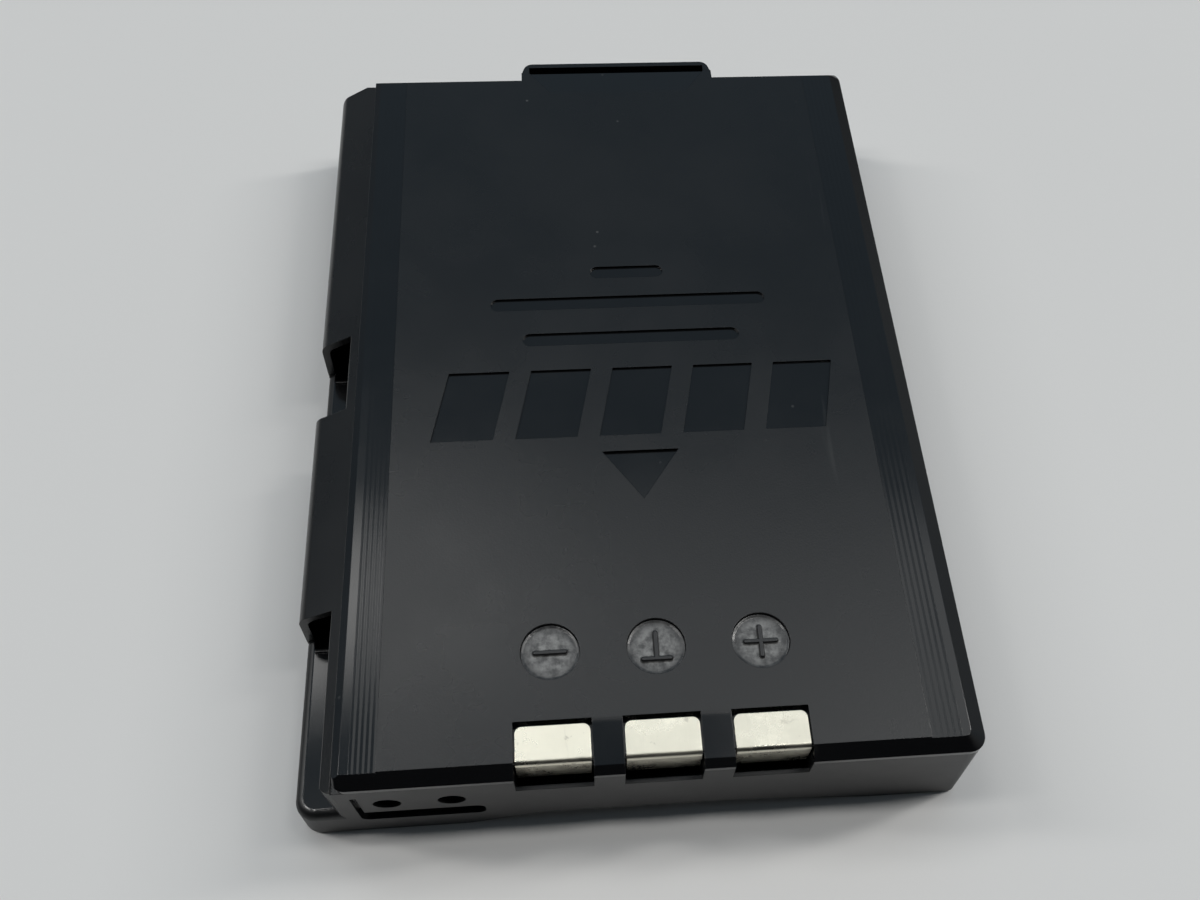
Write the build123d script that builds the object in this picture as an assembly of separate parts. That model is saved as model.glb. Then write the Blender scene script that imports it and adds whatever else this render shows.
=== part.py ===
from build123d import *

import os
from math import radians, tan

# A slim rechargeable camera battery lying on its back. The contact end faces -Y, the marked face is up.
# All sizes are in millimetres. "Depth" is always counted from the contact end face towards +Y.

# Outer sizes of the case
body_width = 36.85  # main box, without the guide rail
body_length = 54.9  # main box, without the fingernail lip
body_height = 8.7
rail_width = 2.15  # guide rail on the left side
lip_reach = 1.1  # how far the fingernail lip stands out at the far end

# Walls and seam
side_wall = 0.8
end_wall = 0.9
back_wall = 0.8
floor_wall = 0.9
cover_thickness = 0.9
corner_radius = 1.0  # upright edges at the seam, seen from above
foot_corner = 0.6  # upright edges at the underside
ledge_corner = 1.2  # left side's upright edge at the contact end
rail_corner = 0.7  # left side's upright edge at the far end
wall_draft = 2.2  # degrees, side walls lean outwards towards the underside
bottom_round = 0.2  # edge between the walls and the underside
fit_gap = 0.1  # clearance between parts that slot into each other

# Cover edge and surface
front_bevel = 0.85
right_bevel = 0.95
bevel_height = 0.5
back_bevel = 0.82  # steeper bevel at the far end
back_bevel_height = 0.75
left_bevel = 0.5  # shallower bevel beside the rail
left_bevel_height = 0.25
bevel_corner = 0.35  # corner radius of the flat top
cover_corner = 0.7  # cover's upright edge beside the rail
locating_rim_thickness = 0.6
locating_rim_height = 0.6
left_band = 1.9  # finely ribbed bands beside the matt panel
right_band = 2.2
smooth_strip = 0.45  # outer part of each band, without ribs
band_step = 0.03  # how far the ribs' crests lie below the panel
rib_count = 5
rib_height = 0.012

# Guide rail, ledge and notches on the left side
ledge_height = 3.3
ledge_round = 0.55
shoulder_width = 0.8  # sloping strip of the left wall beside the cover
crest_rise = 0.2  # top of that slope, above the seam
crest_end = (0.5, 0.4)  # run and fall of the crest at the far end
slope_drop = 1.65  # fall of the slope from its top to the rail's outer side
shoulder_round = 0.15
rail_round = 1.0
rail_shell = 0.5  # wall of the hollow rail
hollow_floor = 2.2
hollow_depth = 6.0  # how far the rear rail is hollow
ledge_length = 10.85  # open ledge at the contact end
notch_start = 25.0
notch_length = 5.85
ledge_gap = 0.55  # ledge stops short of the rail's open end
ledge_rim_width = 0.25  # low rim across the end of the ledge
ledge_rim_height = 0.15

# Contacts
contact_pitch = 6.05
contact_width = 4.15
contact_thickness = 0.2
contact_sink = 0.1  # top of the contacts, below the marked face
contact_front = 0.7  # depth of the front leg
contact_reach = 2.25  # length of the contact along the marked face
contact_bend = 0.1  # inner bend radius
contact_corner = 0.4
front_leg_drop = 1.35  # front leg ends this far below the seam
back_leg_width = 2.6
back_leg_overlap = 2.4  # length soldered to the board
shoulder_back = 0.08  # shoulders beside the back leg stop short of its outer face
pocket_gap = 0.17  # open slot behind each contact
pocket_floor = 0.25  # wall left under that slot, beside the back leg
bridge_sink = 0.25  # bridges between the pockets slope down to the front edge
slot_height = 1.5  # slots in the end wall, round the front legs
slot_lip = 0.25  # thin wall in front of the well below each slot
well_depth = 1.5

# Marks on the cover
mark_depth = 7.15  # centre of the round pockets
mark_radius = 1.7
mark_sink = 0.3
arrow_depth = 16.8  # tip of the arrow
arrow_width = 4.8
arrow_length = 3.5
arrow_sink = 0.2
gauge_depth = 24.1  # centre of the slanted gauge blocks
gauge_count = 5
gauge_pitch = 5.3
gauge_block = 3.9
gauge_height = 5.2
gauge_slant = 1.1
line_bars = ((29.2, 14.4), (32.2, 18.6), (34.8, 5.0))  # depth and length of each plain bar
line_bar_height = 1.0
print_sink = 0.15

# Fingernail lip
lip_width = 14.0
lip_offset = 0.5  # lip's centre, right of the cover's centre line
lip_height = 2.6
lip_drop = 0.1  # top of the rim, below the marked face
lip_rim = 0.4
lip_end = 0.25  # wall at each end of the lip
lip_splay = 0.35  # lip is wider at its root by this on each side
lip_round = 0.7
lip_chamfer = 0.9
groove_floor_drop = 0.6  # floor of the lip's groove, below the seam
ramp_length = 2.35
ramp_splay = 1.6
ramp_drop = 0.12

# Two blind holes in the end wall, above a slot whose left end turns up into a groove
key_left = 3.75  # from the rail's outer side
key_width = 7.1
key_slot_low = 2.4
key_slot_height = 1.5
key_slot_depth = 1.1
key_groove_top = 6.7
key_groove_width = 0.36
hole_left = 5.6
hole_pitch = 3.55
hole_height = 5.4
hole_radius = 0.78
hole_depth = 1.5
key_block_wall = 0.4  # plastic behind the holes

# Underside
scoop_left = 9.0  # from the rail's outer side
scoop_ramp = 5.2
scoop_flat = 10.5
scoop_run_out = 10.5
scoop_height = 1.5
scoop_depth = 4.2
label_margin_x = 2.4
label_front = 6.5
label_back = 3.4
label_sink = 0.2
label_corner = 1.5

# Inner pieces
cell_side_gap = 0.5
cell_corner = 2.2
cell_end_round = 0.5
cell_front = 6.3  # depth of the can's terminal end
floor_tape_thickness = 0.15
cover_tape_thickness = 0.35
end_foam_thickness = 0.9
tape_margin = 3.5
tape_end_margin = 6.0
board_thickness = 0.8
board_end_gap = 0.25
board_top_gap = 0.8
bay_floor_wall = 0.6  # floor under the board, above the scoop
guide_reach = 0.9
guide_thickness = 0.7
guide_drop = 0.5  # guides end this far below the board's top edge
card_thickness = 0.2
card_margin = 0.8
card_window_gap = 0.4  # between the card and the positive tab
gasket_size = (6.4, 3.6)
gasket_thickness = 0.4
terminal_size = (4.8, 2.2)
terminal_thickness = 0.5
tab_thickness = 0.15
tab_width = 2.6
tab_bend = 0.25
tab_foot = 3.0
fuse_size = (4.0, 3.0)
fuse_thickness = 0.8
fuse_lead = 2.2
positive_from_right = 6.0
switch_chip_size = (3.0, 3.0, 0.9)
protection_chip_size = (2.9, 1.6, 0.9)
chip_legs = (0.35, 0.25)  # width and reach of each chip leg
chip_gap = 0.9  # between the two chips
passive_size = (1.6, 0.8, 0.5)
thermistor_size = (1.6, 0.8, 0.8)
thermistor_gap = 0.85  # from the positive tab's foot

# Places worked out from the sizes above
seam_z = body_height - cover_thickness
lean = tan(radians(wall_draft))
foot_left = -(rail_width + body_width + lean * (ledge_height + seam_z)) / 2
foot_right = -foot_left
left_x = foot_left + lean * ledge_height
body_x = left_x + rail_width
right_x = body_x + body_width
crest_x = body_x + shoulder_width
crest_z = seam_z + crest_rise
cover_x = crest_x + fit_gap
centre_x = (crest_x + right_x) / 2
front_y = -(body_length + lip_reach) / 2
back_y = front_y + body_length
bevel_z = body_height - bevel_height
cavity_left = crest_x + side_wall
cavity_right = right_x - side_wall
cavity_back = back_y - back_wall
bay_floor = scoop_height + bay_floor_wall
contact_x = [centre_x + i * contact_pitch for i in (-1, 0, 1)]
contact_back = contact_front + contact_reach
contact_top = body_height - contact_sink
contact_under = contact_top - contact_thickness
pocket_half = contact_width / 2 + fit_gap
lip_x = centre_x + lip_offset
groove_half = lip_width / 2 - lip_end
board_left = cavity_left + board_end_gap
board_right = cavity_right - board_end_gap
board_back = contact_back + board_thickness
board_top = seam_z - board_top_gap
cell_low = floor_wall + floor_tape_thickness
cell_high = seam_z - cover_tape_thickness
cell_mid_z = (cell_low + cell_high) / 2
cell_back_y = cavity_back - end_foam_thickness
gasket_face = cell_front - gasket_thickness
terminal_face = gasket_face - terminal_thickness


def y_at(depth):
    """Y of a place that lies this deep behind the contact end face."""
    return front_y + depth


def block(x, y, z):
    """Plain block between two X, two Y and two Z values."""
    size = [high - low for low, high in (x, y, z)]
    middle = [(high + low) / 2 for low, high in (x, y, z)]
    return Pos(*middle) * Box(*size)


def outline(x, y, radius):
    """Rectangle with round corners between two X and two Y values."""
    middle = Pos((x[0] + x[1]) / 2, (y[0] + y[1]) / 2)
    return middle * RectangleRounded(x[1] - x[0], y[1] - y[0], radius)


def upright(face, low, high):
    """Extrude a plan outline between two heights."""
    return extrude(Pos(0, 0, low) * face, high - low, dir=(0, 0, 1))


def between(low_face, low, high_face, high):
    """Straight-sided solid between two plan outlines at different heights."""
    return loft([Pos(0, 0, low) * low_face, Pos(0, 0, high) * high_face], ruled=True)


def along_y(face, near, far):
    """Extrude a section drawn in X and Z between two Y values."""
    plane = Plane((0, near, 0), x_dir=(1, 0, 0), z_dir=(0, -1, 0))
    return extrude(plane * face, far - near, dir=(0, 1, 0))


def along_x(face, near, far):
    """Extrude a section drawn in Y and Z between two X values."""
    plane = Plane((near, 0, 0), x_dir=(0, 1, 0), z_dir=(1, 0, 0))
    return extrude(plane * face, far - near, dir=(1, 0, 0))


def cornered(x, y, radii):
    """Rectangle with its own radius at each corner: near left, near right, far right, far left."""
    shape = Pos((x[0] + x[1]) / 2, (y[0] + y[1]) / 2) * Rectangle(x[1] - x[0], y[1] - y[0])
    places = ((x[0], y[0]), (x[1], y[0]), (x[1], y[1]), (x[0], y[1]))
    for place, radius in zip(places, radii):
        if radius:
            shape = fillet(shape.vertices().sort_by_distance(place)[0], radius)
    return shape


def slope_section(outer, root, inset, low, radius):
    """Section below the left side's sloping top, between two X values, with a rounded outer shoulder."""
    slope = slope_drop / (crest_x - left_x)
    top = crest_z - inset * (1 + slope**2) ** 0.5
    side = outer + lean * (top - slope * (crest_x - outer) - ledge_height)
    shoulder = (side, top - slope * (crest_x - side))
    ridge = (root, top - slope * (crest_x - root))
    foot = (outer + lean * (low - ledge_height), low)
    section = Polygon((root, low), ridge, shoulder, foot, align=None)
    return fillet(section.vertices().sort_by_distance(shoulder)[0], radius)


def left_wall():
    """Wall beside the cover, over the whole length, with a sloping top."""
    section = slope_section(body_x, crest_x, 0, ledge_height - ledge_round, shoulder_round)
    plan = cornered((body_x, centre_x), (front_y, back_y), (corner_radius, 0, 0, 0))
    return along_y(section, front_y, back_y) & upright(plan, 0, body_height)


def rail(envelope):
    """Hollow guide rail in two lengths, open at the notches."""
    section = slope_section(left_x, crest_x, 0, ledge_height - ledge_round, rail_round)
    middle = along_y(section, y_at(ledge_length), y_at(notch_start))
    rear = along_y(section, y_at(notch_start + notch_length), back_y)
    return (middle + rear) & envelope


def rail_hollow():
    """Space inside the rail: through the middle length and a blind end in the rear length."""
    notch_end = notch_start + notch_length
    inner_round = rail_round - rail_shell / 2
    section = slope_section(left_x + rail_shell, body_x, rail_shell, hollow_floor, inner_round)
    middle = along_y(section, y_at(ledge_length - ledge_gap), y_at(notch_start))
    rear = along_y(section, y_at(notch_end - ledge_gap), y_at(notch_end + hollow_depth))
    return middle + rear


def crest_fall():
    """Wedge off the far end of the left side's crest, beside the cover's bevel."""
    run, fall = crest_end
    wedge = Polygon((back_y - run, crest_z), (back_y, crest_z), (back_y, crest_z - fall), align=None)
    return along_x(wedge, left_x, crest_x)


def ledge_rims():
    """Low rims where the ledge and the notch's floor end before the hollow rail."""
    rims = None
    for end in (ledge_length - ledge_gap, notch_start + notch_length - ledge_gap):
        rim = block(
            (left_x + ledge_round, body_x + shoulder_round),
            (y_at(end - ledge_rim_width), y_at(end)),
            (ledge_height - ledge_round, ledge_height + ledge_rim_height),
        )
        rim = fillet(rim.edges().filter_by(Axis.X).group_by(Axis.Z)[-1], ledge_rim_width / 3)
        rims = rim if rims is None else rims + rim
    return rims


def lip():
    """Fingernail lip at the far end: a chamfered block with a groove behind its rim."""
    top = body_height - lip_drop
    low = top - lip_height
    section = Polygon(
        (back_y - back_wall, low - lip_chamfer),
        (back_y, low - lip_chamfer),
        (back_y + lip_reach, low + lip_reach - lip_chamfer),
        (back_y + lip_reach, top),
        (back_y, top),
        (back_y, seam_z),
        (back_y - back_wall, seam_z),
        align=None,
    )
    half = lip_width / 2
    solid = along_x(section, lip_x - half - lip_splay, lip_x + half + lip_splay)
    plan = Polygon(
        (lip_x - half - lip_splay, back_y - back_wall),
        (lip_x + half + lip_splay, back_y - back_wall),
        (lip_x + half + lip_splay, back_y),
        (lip_x + half, back_y + lip_reach),
        (lip_x - half, back_y + lip_reach),
        (lip_x - half - lip_splay, back_y),
        align=None,
    )
    plan = fillet(plan.vertices().group_by(Axis.Y)[-1], lip_round)
    solid = solid & upright(plan, 0, body_height)
    return solid - block(
        (lip_x - groove_half, lip_x + groove_half),
        (back_y, back_y + lip_reach - lip_rim),
        (seam_z - groove_floor_drop, body_height),
    )


def scoop():
    """Sloping hollow under the end wall, with a short ramp on its left and a long one on its right."""
    start = left_x + scoop_left
    flat = start + scoop_ramp
    fall = flat + scoop_flat
    front = Polygon(
        (start, 0),
        (flat, scoop_height),
        (fall, scoop_height),
        (fall + scoop_run_out, 0),
        align=None,
    )
    side = Polygon(
        (front_y, 0),
        (front_y, scoop_height),
        (y_at(scoop_depth), 0),
        align=None,
    )
    return along_y(front, front_y, y_at(scoop_depth)) & along_x(side, start, fall + scoop_run_out)


def holes():
    """Axes of the two blind holes in the end wall, as X values."""
    first = left_x + hole_left
    return [first, first + hole_pitch]


def key_block():
    """Thick part of the end wall that holds the two blind holes and the slot."""
    x = (cavity_left, left_x + key_left + key_width + key_block_wall)
    y = (front_y + end_wall / 2, y_at(hole_depth + key_block_wall))
    return block(x, y, (bay_floor, key_groove_top))


def key_slot():
    """Slot below the two holes, with a shallow groove that rises from its left end."""
    left = left_x + key_left
    middle = Pos(left + key_width / 2, key_slot_low + key_slot_height / 2)
    slot = middle * RectangleRounded(key_width, key_slot_height, key_slot_height / 3)
    cut = along_y(slot, front_y, y_at(key_slot_depth))
    groove = Polygon(
        (left, key_slot_low + key_slot_height / 2),
        (left + key_groove_width, key_slot_low + key_slot_height),
        (left + key_groove_width, key_groove_top),
        (left, key_groove_top),
        align=None,
    )
    return cut + along_y(groove, front_y, y_at(key_groove_width))


def case_tray():
    """Lower moulding: floor, walls, rail, ledge, lip and the seats of the inner pieces."""
    y_range = (front_y, back_y)
    left_corners = (ledge_corner, rail_corner, rail_corner, rail_corner)
    foot = cornered((foot_left, body_x + rail_width), y_range, left_corners)
    ledge = cornered((left_x, body_x + rail_width), y_range, left_corners)
    left_side = between(foot, 0, ledge, ledge_height)
    left_side = fillet(left_side.faces().sort_by(Axis.Z)[-1].edges(), ledge_round)
    base = cornered((crest_x, foot_right), y_range, (0, foot_corner, foot_corner, 0))
    rim = cornered((crest_x, right_x), y_range, (0, corner_radius, corner_radius, 0))
    tray = between(base, 0, rim, seam_z) + left_side
    tray = fillet(tray.faces().sort_by(Axis.Z)[0].outer_wire().edges(), bottom_round)
    tray += left_wall()
    tray += rail(upright(ledge, 0, body_height))
    tray -= rail_hollow() + crest_fall()
    tray += ledge_rims()
    tray += lip()

    inside = outline((cavity_left, cavity_right), (y_at(end_wall), cavity_back), corner_radius / 2)
    tray -= upright(inside, bay_floor, seam_z)
    cell_bay = outline((cavity_left, cavity_right), (y_at(scoop_depth), cavity_back), corner_radius / 2)
    tray -= upright(cell_bay, floor_wall, bay_floor)

    for x in contact_x:
        slot = (x - pocket_half, x + pocket_half)
        floor = seam_z - slot_height
        tray -= block(slot, (front_y, y_at(end_wall)), (floor, seam_z))
        tray -= block(slot, (y_at(slot_lip), y_at(end_wall)), (floor - well_depth, floor))

    tray += key_block()
    for x in holes():
        axis = Pos(x, hole_height)
        tray -= along_y(axis * Circle(hole_radius), front_y, y_at(hole_depth))
    tray -= key_slot()

    guides = (y_at(board_back + fit_gap), y_at(board_back + fit_gap + guide_thickness))
    for x in ((cavity_left, cavity_left + guide_reach), (cavity_right - guide_reach, cavity_right)):
        tray += block(x, guides, (bay_floor - bay_floor_wall / 2, board_top - guide_drop))

    tray -= scoop()
    label = outline(
        (body_x + label_margin_x, right_x - label_margin_x),
        (y_at(label_front), back_y - label_back),
        label_corner,
    )
    return tray - upright(label, 0, label_sink)


def marks():
    """Everything sunk into the marked face: round pockets, arrow, gauge blocks and plain bars."""
    middle_x = contact_x[1]
    pockets = [Pos(x, y_at(mark_depth)) * Circle(mark_radius) for x in contact_x]
    sunk = upright(pockets[0] + pockets[1] + pockets[2], body_height - mark_sink, body_height)
    arrow = Polygon(
        (middle_x, y_at(arrow_depth)),
        (middle_x + arrow_width / 2, y_at(arrow_depth + arrow_length)),
        (middle_x - arrow_width / 2, y_at(arrow_depth + arrow_length)),
        align=None,
    )
    sunk += upright(arrow, body_height - arrow_sink, body_height)
    low, high = y_at(gauge_depth - gauge_height / 2), y_at(gauge_depth + gauge_height / 2)
    for i in range(gauge_count):
        x = middle_x + (i - (gauge_count - 1) / 2) * gauge_pitch
        near = x - gauge_slant / 2 - gauge_block / 2
        far = x + gauge_slant / 2 - gauge_block / 2
        leaning = Polygon(
            (near, low),
            (near + gauge_block, low),
            (far + gauge_block, high),
            (far, high),
            align=None,
        )
        sunk += upright(leaning, body_height - print_sink, body_height)
    for depth, length in line_bars:
        bar = Pos(middle_x, y_at(depth)) * SlotOverall(length, line_bar_height)
        sunk += upright(bar, body_height - print_sink, body_height)
    return sunk


def ribbed_bands():
    """Sunk bands along both long sides: ribs next to the panel and a smooth strip outside them."""
    crest = body_height - band_step
    left_edge = cover_x + left_bevel + left_band
    right_edge = right_x - right_bevel - right_band
    cut = None
    for edge, outward, width in ((left_edge, -1, left_band), (right_edge, 1, right_band)):
        pitch = (width - smooth_strip) / rib_count
        points = [(edge, body_height), (edge, crest - rib_height)]
        for i in range(rib_count):
            points.append((edge + outward * (i + 0.5) * pitch, crest))
            points.append((edge + outward * (i + 1) * pitch, crest - rib_height))
        end = edge + outward * (width + smooth_strip)
        points += [(edge + outward * (width - smooth_strip), crest), (end, crest), (end, body_height)]
        teeth = along_y(Polygon(*points, align=None), front_y, back_y)
        cut = teeth if cut is None else cut + teeth
    return cut


def contact_pockets():
    """Cuts that let each contact hook round its bar at the cover's front edge."""
    behind = (y_at(contact_back - contact_thickness), y_at(contact_back + pocket_gap))
    ahead = (front_y, y_at(contact_front + contact_thickness))
    cut = None
    for x in contact_x:
        across = (x - pocket_half, x + pocket_half)
        leg = (x - back_leg_width / 2 - fit_gap, x + back_leg_width / 2 + fit_gap)
        pocket = block(across, (front_y, y_at(contact_back)), (contact_under, body_height))
        pocket += block(across, ahead, (seam_z, body_height))
        pocket += block(across, behind, (seam_z + pocket_floor, body_height))
        pocket += block(leg, (behind[0], y_at(contact_back + fit_gap)), (seam_z, body_height))
        cut = pocket if cut is None else cut + pocket
    slope = Polygon(
        (y_at(contact_back + pocket_gap), body_height),
        (front_y, body_height),
        (front_y, body_height - bridge_sink),
        align=None,
    )
    for near, far in zip(contact_x, contact_x[1:]):
        cut += along_x(slope, near + pocket_half, far - pocket_half)
    return cut


def finger_ramp():
    """Shallow slope on the cover that leads a fingernail to the lip."""
    start = back_y - ramp_length
    low = body_height - ramp_drop
    side = Polygon((start, body_height), (back_y, body_height), (back_y, low), align=None)
    plan = Polygon(
        (lip_x - groove_half + ramp_splay, start),
        (lip_x + groove_half - ramp_splay, start),
        (lip_x + groove_half, back_y),
        (lip_x - groove_half, back_y),
        align=None,
    )
    return along_x(side, lip_x - groove_half, lip_x + groove_half) & upright(plan, seam_z, body_height)


def case_cover():
    """Upper moulding: bevelled plate, locating rim and everything cut into the marked face."""
    seat_corners = (cover_corner, corner_radius, corner_radius, 0)
    seat = cornered((cover_x, right_x), (front_y, back_y), seat_corners)
    flat = cornered(
        (cover_x, right_x - right_bevel),
        (front_y + front_bevel, back_y),
        (bevel_corner, bevel_corner, corner_radius, 0),
    )
    cover = upright(seat, seam_z, bevel_z) + between(seat, bevel_z, flat, body_height)
    left_edge = Polygon(
        (cover_x, body_height - left_bevel_height),
        (cover_x + left_bevel, body_height),
        (cover_x, body_height),
        align=None,
    )
    far_edge = Polygon(
        (back_y - back_bevel, body_height),
        (back_y, body_height),
        (back_y, body_height - back_bevel_height),
        align=None,
    )
    cover -= along_y(left_edge, front_y, back_y) + along_x(far_edge, cover_x, right_x)
    root_half = lip_width / 2 + lip_splay
    root = (lip_x - root_half, lip_x + root_half)
    cover += block(root, (back_y - 2 * back_bevel, back_y), (seam_z, body_height))
    cover -= finger_ramp()
    cover -= ribbed_bands()
    cover -= marks()
    cover -= contact_pockets()
    bar_edges = [
        edge
        for edge in cover.edges().filter_by(Axis.X)
        if abs(edge.center().Z - contact_under) < 0.01
        and abs(edge.length - 2 * pocket_half) < 0.01
        and edge.center().Y < y_at(contact_back)
    ]
    cover = fillet(bar_edges, contact_bend + fit_gap / 2)

    rim_x = (cavity_left + fit_gap, cavity_right - fit_gap)
    rim_y = (y_at(end_wall + fit_gap), cavity_back - fit_gap)
    outer = outline(rim_x, rim_y, corner_radius / 2)
    t = locating_rim_thickness
    inner = outline((rim_x[0] + t, rim_x[1] - t), (rim_y[0] + t, rim_y[1] - t), corner_radius / 4)
    return cover + upright(outer - inner, seam_z - locating_rim_height, seam_z)


def contact(x):
    """Bent strip hooked over the cover's bar: front leg, flat top, narrow leg to the board."""
    across = (x - contact_width / 2, x + contact_width / 2)
    half = contact_thickness / 2
    front = y_at(contact_front) + half
    back = y_at(contact_back) - half
    top = contact_top - half
    corner = contact_bend + half
    leg_half = back_leg_width / 2
    strip = FilletPolyline(
        (front + corner, top),
        (back, top),
        (back, board_top - back_leg_overlap),
        radius=corner,
    )
    hook = FilletPolyline(
        (front, seam_z - front_leg_drop),
        (front, top),
        (front + 2 * corner, top),
        radius=corner,
    )
    solid = along_x(trace(strip, contact_thickness), x - leg_half, x + leg_half)
    solid += along_x(trace(hook, contact_thickness), *across)
    plate = cornered(
        across,
        (y_at(contact_front + contact_bend + contact_thickness), y_at(contact_back - shoulder_back)),
        (0, 0, contact_corner, contact_corner),
    )
    return solid + upright(plate, contact_under, contact_top)


def cell_can():
    """Sealed cell: a flat can with rounded long edges."""
    width = cavity_right - cavity_left - 2 * cell_side_gap
    middle = Pos((cavity_left + cavity_right) / 2, cell_mid_z)
    section = middle * RectangleRounded(width, cell_high - cell_low, cell_corner)
    can = along_y(section, y_at(cell_front), cell_back_y)
    ends = can.faces().filter_by(Axis.Y)
    return fillet(ends.edges(), cell_end_round)


def end_plate(size, near, far):
    """Flat plate with round ends on the end of the can, centred on it."""
    face = Pos((cavity_left + cavity_right) / 2, cell_mid_z) * SlotOverall(*size)
    return along_y(face, y_at(near), y_at(far))


def terminal_gasket():
    return end_plate(gasket_size, gasket_face, cell_front)


def cell_terminal():
    return end_plate(terminal_size, terminal_face, gasket_face)


def positive_x():
    """Where the positive tab leaves the can."""
    return cavity_right - cell_side_gap - positive_from_right


def insulating_card():
    """Card on the end of the can, with windows for the terminal and the positive tab."""
    width = cavity_right - cavity_left - 2 * (cell_side_gap + card_margin)
    height = cell_high - cell_low - 2 * card_margin
    middle = Pos((cavity_left + cavity_right) / 2, cell_mid_z)
    card = middle * RectangleRounded(width, height, card_margin)
    card -= middle * SlotOverall(gasket_size[0] + 2 * fit_gap, gasket_size[1] + 2 * fit_gap)
    window = Rectangle(tab_foot + 2 * card_window_gap, tab_width + 2 * card_window_gap)
    card -= Pos(positive_x() + tab_foot / 2, cell_mid_z) * window
    return along_y(card, y_at(cell_front - card_thickness), y_at(cell_front))


def bent_tab(points):
    """Nickel strip that follows a path seen from above, standing on its edge behind the board."""
    face = trace(FilletPolyline(*points, radius=tab_bend), tab_thickness)
    return upright(face, cell_mid_z - tab_width / 2, cell_mid_z + tab_width / 2)


def positive_tab():
    """Strip from the can to the board, right of the terminal."""
    half = tab_thickness / 2
    x = positive_x()
    return bent_tab(
        [
            (x + tab_foot, y_at(cell_front) - half),
            (x, y_at(cell_front) - half),
            (x, y_at(board_back) + half),
            (x - tab_foot, y_at(board_back) + half),
        ]
    )


def fuse_right():
    """Right end of the fuse's body, left of the terminal."""
    return (cavity_left + cavity_right) / 2 - terminal_size[0] / 2 - fuse_lead / 2


def fuse_link():
    """Thermal cut-out with a flat lead at each end, the right one welded to the terminal."""
    right = fuse_right()
    left = right - fuse_size[0]
    z = (cell_mid_z - fuse_size[1] / 2, cell_mid_z + fuse_size[1] / 2)
    lead_z = (cell_mid_z - terminal_size[1] / 2, cell_mid_z + terminal_size[1] / 2)
    lead_y = (y_at(terminal_face - tab_thickness), y_at(terminal_face))
    half = fuse_thickness / 2
    body = block((left, right), (y_at(terminal_face - half), y_at(terminal_face + half)), z)
    body = fillet(body.edges().filter_by(Axis.Z), fuse_thickness / 4)
    lead = block((left - fuse_lead, right + 2 * fuse_lead), lead_y, lead_z)
    return body + lead


def negative_tab():
    """Strip from the fuse's left lead to the board."""
    half = tab_thickness / 2
    start = fuse_right() - fuse_size[0] - fit_gap
    x = start - fuse_lead
    lap = y_at(terminal_face - tab_thickness) - half
    return bent_tab(
        [
            (start, lap),
            (x, lap),
            (x, y_at(board_back) + half),
            (x - tab_foot, y_at(board_back) + half),
        ]
    )


def circuit_board():
    """Protection board on edge behind the contacts."""
    return block(
        (board_left, board_right),
        (y_at(contact_back), y_at(board_back)),
        (bay_floor + fit_gap, board_top),
    )


def chip(x, z, size, legs_per_side):
    """Moulded chip on the board's front, with a row of short legs above and below."""
    width, height, thick = size
    face = y_at(contact_back)
    leg_width, leg_reach = chip_legs
    solid = block((x - width / 2, x + width / 2), (face - thick, face), (z - height / 2, z + height / 2))
    for i in range(legs_per_side):
        leg_x = x + (i - (legs_per_side - 1) / 2) * width / legs_per_side
        across = (leg_x - leg_width / 2, leg_x + leg_width / 2)
        tall = (z - height / 2 - leg_reach, z + height / 2 + leg_reach)
        solid += block(across, (face - leg_reach, face), tall)
    return solid


def board_mid_z():
    return (bay_floor + board_top) / 2


def protection_x():
    return board_right - guide_reach - protection_chip_size[0] / 2


def protection_chip():
    return chip(protection_x(), board_mid_z(), protection_chip_size, 3)


def switch_chip():
    x = protection_x() - protection_chip_size[0] / 2 - chip_gap - switch_chip_size[0] / 2
    return chip(x, board_mid_z(), switch_chip_size, 4)


def passives(first, count):
    """Row of small chip parts low on the board's front, one solid each."""
    width, height, thick = passive_size
    face = y_at(contact_back)
    z = (bay_floor + height, bay_floor + 2 * height)
    solids = []
    for i in range(first, first + 2 * count, 2):
        x = contact_x[0] + i * contact_pitch / 2
        solids.append(block((x - width / 2, x + width / 2), (face - thick, face), z))
    return Compound(children=solids)


def thermistor():
    """Heat sensor on the board's back, facing the can."""
    width, height, thick = thermistor_size
    right = positive_x() - tab_foot - thermistor_gap
    face = y_at(board_back)
    z = board_mid_z()
    return block((right - width, right), (face, face + thick), (z - height / 2, z + height / 2))


def tape(low, high):
    """Adhesive sheet above or below the can."""
    plan = outline(
        (cavity_left + cell_side_gap + tape_margin, cavity_right - cell_side_gap - tape_margin),
        (y_at(cell_front) + tape_end_margin, cell_back_y - tape_end_margin),
        corner_radius,
    )
    return upright(plan, low, high)


def end_foam():
    """Foam strip between the can and the back wall, below the cover's locating rim."""
    across = (cavity_left + cell_side_gap + cell_corner, cavity_right - cell_side_gap - cell_corner)
    tall = (cell_low, seam_z - locating_rim_height - fit_gap)
    return block(across, (cell_back_y, cavity_back), tall)


pieces = {
    "case_tray": case_tray(),
    "case_cover": case_cover(),
    "contact_negative": contact(contact_x[0]),
    "contact_sense": contact(contact_x[1]),
    "contact_positive": contact(contact_x[2]),
    "cell_can": cell_can(),
    "cell_terminal": cell_terminal(),
    "terminal_gasket": terminal_gasket(),
    "insulating_card": insulating_card(),
    "fuse_link": fuse_link(),
    "negative_tab": negative_tab(),
    "positive_tab": positive_tab(),
    "circuit_board": circuit_board(),
    "switch_chip": switch_chip(),
    "protection_chip": protection_chip(),
    "chip_resistors": passives(0, 3),
    "chip_capacitors": passives(-1, 3),
    "thermistor": thermistor(),
    "floor_tape": tape(floor_wall, cell_low),
    "cover_tape": tape(cell_high, seam_z),
    "end_foam": end_foam(),
}

os.makedirs("parts", exist_ok=True)
for name, shape in pieces.items():
    export_step(shape, f"parts/{name}.step")
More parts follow.
